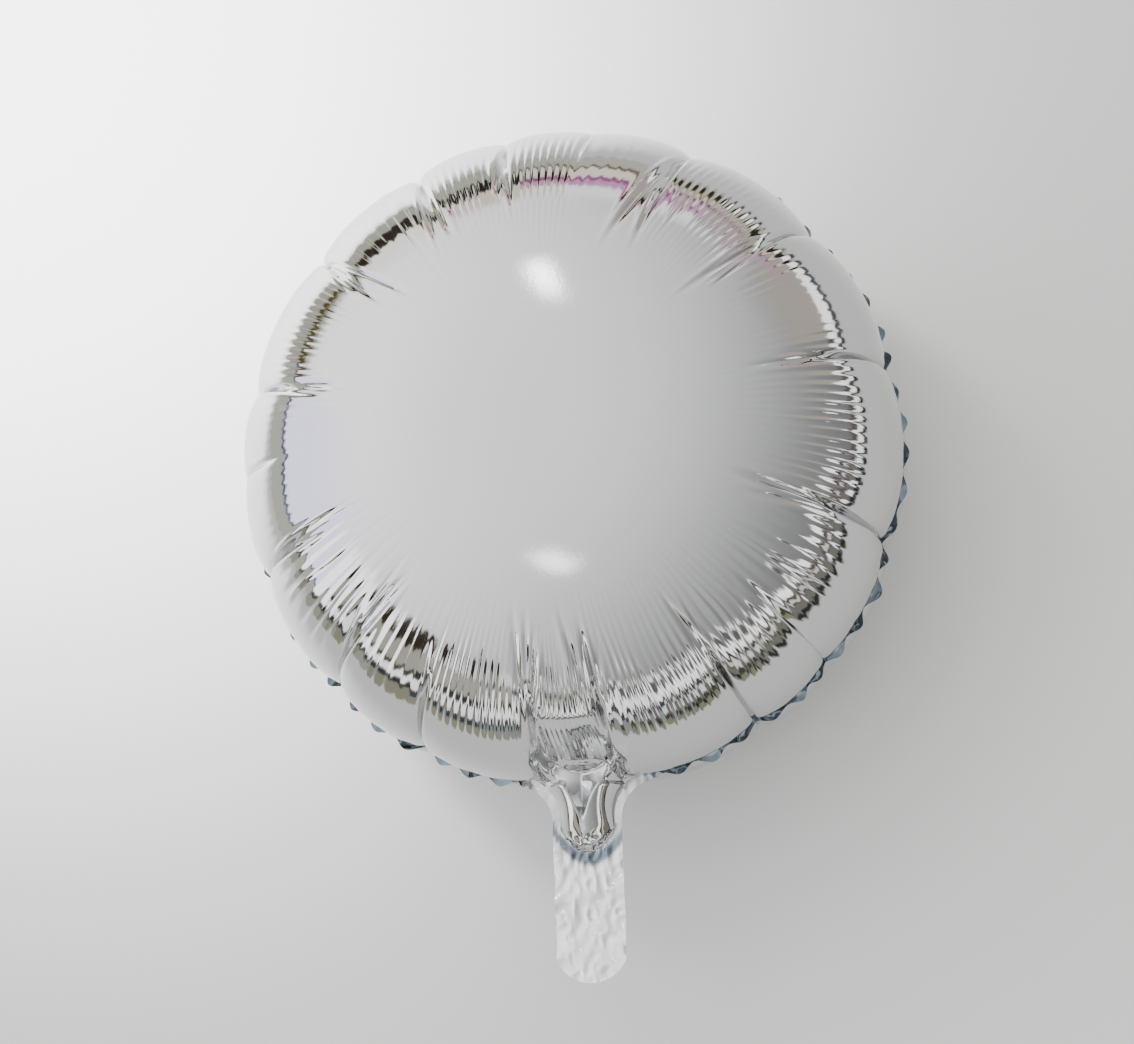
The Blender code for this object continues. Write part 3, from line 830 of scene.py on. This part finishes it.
def studio_world(scene):
    """A soft grey dome, lighter on the left, over a ring of lighter and darker things near the floor."""
    world = bpy.data.worlds.new("studio_dome")
    world.use_nodes = True
    tree = world.node_tree
    way = add_node(tree, "ShaderNodeTexCoord").outputs["Object"]
    parts = add_node(tree, "ShaderNodeSeparateXYZ", {0: way}).outputs
    angles = []
    for operation, inputs in (("ARCTAN2", {0: parts["X"], 1: parts["Y"]}), ("ARCSINE", {0: parts["Z"]})):
        radians = add_node(tree, "ShaderNodeMath", inputs, operation=operation).outputs[0]
        angles.append(add_node(tree, "ShaderNodeMath", {0: radians}, operation="DEGREES").outputs[0])
    compass, height = angles
    wobble = add_node(tree, "ShaderNodeTexNoise", {"Vector": way, "Scale": 5.0, "Detail": 2.0})
    inputs = {0: wobble.outputs["Fac"], 1: WOBBLE, 2: height}
    top = add_node(tree, "ShaderNodeMath", inputs, operation="MULTIPLY_ADD")
    ends = {"From Min": RAMP_LOW + WOBBLE / 2, "From Max": RAMP_HIGH + WOBBLE / 2}
    level = add_node(tree, "ShaderNodeMapRange", {"Value": top.outputs[0], **ends}).outputs["Result"]
    beside = {}
    for middle, *_ in LAMPS + WALLS:
        off = add_node(tree, "ShaderNodeMath", {0: compass, 1: middle}, operation="SUBTRACT").outputs[0]
        folded = add_node(tree, "ShaderNodeMath", {0: off, 1: 180.0}, operation="PINGPONG")
        beside[middle] = folded.outputs[0]
    lean = add_node(tree, "ShaderNodeVectorMath", {0: way, 1: DOME_LEAN}, operation="DOT_PRODUCT")
    inputs = {0: lean.outputs["Value"], 1: DOME_LEVEL - math.log(BRIGHTEST)}
    power = add_node(tree, "ShaderNodeMath", inputs, operation="ADD").outputs[0]
    bright = add_node(tree, "ShaderNodeMath", {0: power}, operation="EXPONENT").outputs[0]
    for middle, half_width, elevation, half_height, strength in LAMPS:
        off = add_node(tree, "ShaderNodeMath", {0: height, 1: elevation}, operation="SUBTRACT").outputs[0]
        above = add_node(tree, "ShaderNodeMath", {0: off}, operation="ABSOLUTE").outputs[0]
        glow = strength / BRIGHTEST
        for distance, half in ((beside[middle], half_width), (above, half_height)):
            ends = {"Value": distance, "From Min": half, "From Max": 0.0, "To Max": glow}
            lit = add_node(tree, "ShaderNodeMapRange", ends, interpolation_type="SMOOTHERSTEP")
            glow = lit.outputs["Result"]
        bright = add_node(tree, "ShaderNodeMath", {0: glow, 1: bright}, operation="ADD").outputs[0]
    seen = add_node(tree, "ShaderNodeCombineColor", {0: bright, 1: bright, 2: bright}).outputs[0]
    for middle, half_width, fade, *things in WALLS:
        ramp = wall_ramp(tree, level, fade, things)
        ends = {"From Min": half_width + WALL_EDGE, "From Max": half_width - WALL_EDGE}
        inputs = {"Value": beside[middle], **ends, "To Max": ramp["Alpha"]}
        share = add_node(tree, "ShaderNodeMapRange", inputs).outputs["Result"]
        mixed = add_node(tree, "ShaderNodeMix", {0: share, 6: seen, 7: ramp["Color"]}, data_type="RGBA")
        seen = mixed.outputs[2]
    tree.links.new(seen, tree.nodes["Background"].inputs["Color"])
    tree.nodes["Background"].inputs["Strength"].default_value = BRIGHTEST
    scene.world = world


def add_softbox(context):
    """A round softbox up and to the left, whose grid lets the floor fade towards the lower right."""
    light = bpy.data.lights.new("floor_lamp", "AREA")
    light.shape = "DISK"
    light.size = SOFTBOX_SIZE
    light.energy = SOFTBOX_WATTS
    light.spread = SOFTBOX_SPREAD
    lamp = bpy.data.objects.new("floor_lamp", light)
    lamp.location = Vector(SOFTBOX_WAY).normalized() * SOFTBOX_DISTANCE + Vector(SOFTBOX_AIM)
    lamp.rotation_euler = Vector(SOFTBOX_WAY).to_track_quat("Z", "Y").to_euler()
    lamp.visible_glossy = False
    context.scene.collection.objects.link(lamp)


def add_floor(context):
    """A round painted floor."""
    studio = context.scene.balloon_studio
    bm = bmesh.new()
    bmesh.ops.create_circle(bm, cap_ends=True, radius=studio.floor_radius, segments=96)
    mesh = bpy.data.meshes.new("floor")
    bm.to_mesh(mesh)
    bm.free()
    material, _, shader = new_material("matt_painted_floor")
    shader.inputs["Base Color"].default_value = (*studio.floor, 1.0)
    shader.inputs["Roughness"].default_value = 0.9
    mesh.materials.append(material)
    floor = bpy.data.objects.new("floor", mesh)
    context.scene.collection.objects.link(floor)


def add_camera(context):
    """A camera high over the balloon, a little to its right and below its middle."""
    studio = context.scene.balloon_studio
    camera = bpy.data.cameras.new("camera")
    camera.lens = camera.sensor_width * studio.camera_distance / studio.frame_width
    camera.dof.use_dof = False
    camera.clip_start = 0.05
    eye = bpy.data.objects.new("camera", camera)
    target = Vector((*CAMERA_AIM, Form(context.scene.balloon_sizes).seam_height))
    back = Vector(CAMERA_WAY).normalized()
    top = Vector((math.sin(CAMERA_ROLL), math.cos(CAMERA_ROLL), 0.0))
    right = top.cross(back).normalized()
    up = back.cross(right)
    turned = Matrix((right, up, back)).transposed().to_4x4()
    eye.matrix_world = Matrix.Translation(target + back * studio.camera_distance) @ turned
    context.scene.collection.objects.link(eye)
    context.scene.camera = eye


class BALLOON_OT_studio(bpy.types.Operator):
    """Adds a pale floor, soft light and a camera that looks down on the balloon"""

    bl_idname = "balloon.studio"
    bl_label = "Add studio"

    def execute(self, context):
        add_floor(context)
        add_camera(context)
        studio_world(context.scene)
        add_softbox(context)
        return {"FINISHED"}


class BALLOON_PT_panel(bpy.types.Panel):
    """Sizes, finish and studio of the balloon, with a button for each piece"""

    bl_label = "Round foil balloon"
    bl_idname = "BALLOON_PT_panel"
    bl_space_type = "VIEW_3D"
    bl_region_type = "UI"
    bl_category = "Balloon"

    def draw(self, context):
        scene = context.scene
        for group in (scene.balloon_sizes, scene.balloon_finish, scene.balloon_studio):
            box = self.layout.box()
            for name in group.__annotations__:
                box.prop(group, name)
        for operator in (BALLOON_OT_front, BALLOON_OT_back, BALLOON_OT_studio):
            self.layout.operator(operator.bl_idname)


CLASSES = (
    BalloonSizes,
    BalloonFinish,
    BalloonStudio,
    BALLOON_OT_front,
    BALLOON_OT_back,
    BALLOON_OT_studio,
    BALLOON_PT_panel,
)


def register():
    for cls in CLASSES:
        bpy.utils.register_class(cls)
    bpy.types.Scene.balloon_sizes = PointerProperty(type=BalloonSizes)
    bpy.types.Scene.balloon_finish = PointerProperty(type=BalloonFinish)
    bpy.types.Scene.balloon_studio = PointerProperty(type=BalloonStudio)


def unregister():
    del bpy.types.Scene.balloon_studio
    del bpy.types.Scene.balloon_finish
    del bpy.types.Scene.balloon_sizes
    for cls in reversed(CLASSES):
        bpy.utils.unregister_class(cls)


def main():
    """Builds the balloon and the studio."""
    register()
    for name in ("Cube", "Light", "Camera"):
        if name in bpy.data.objects:
            bpy.data.objects.remove(bpy.data.objects[name])
    bpy.ops.balloon.front()
    bpy.ops.balloon.back()
    bpy.ops.balloon.studio()


if __name__ == "__main__":
    main()
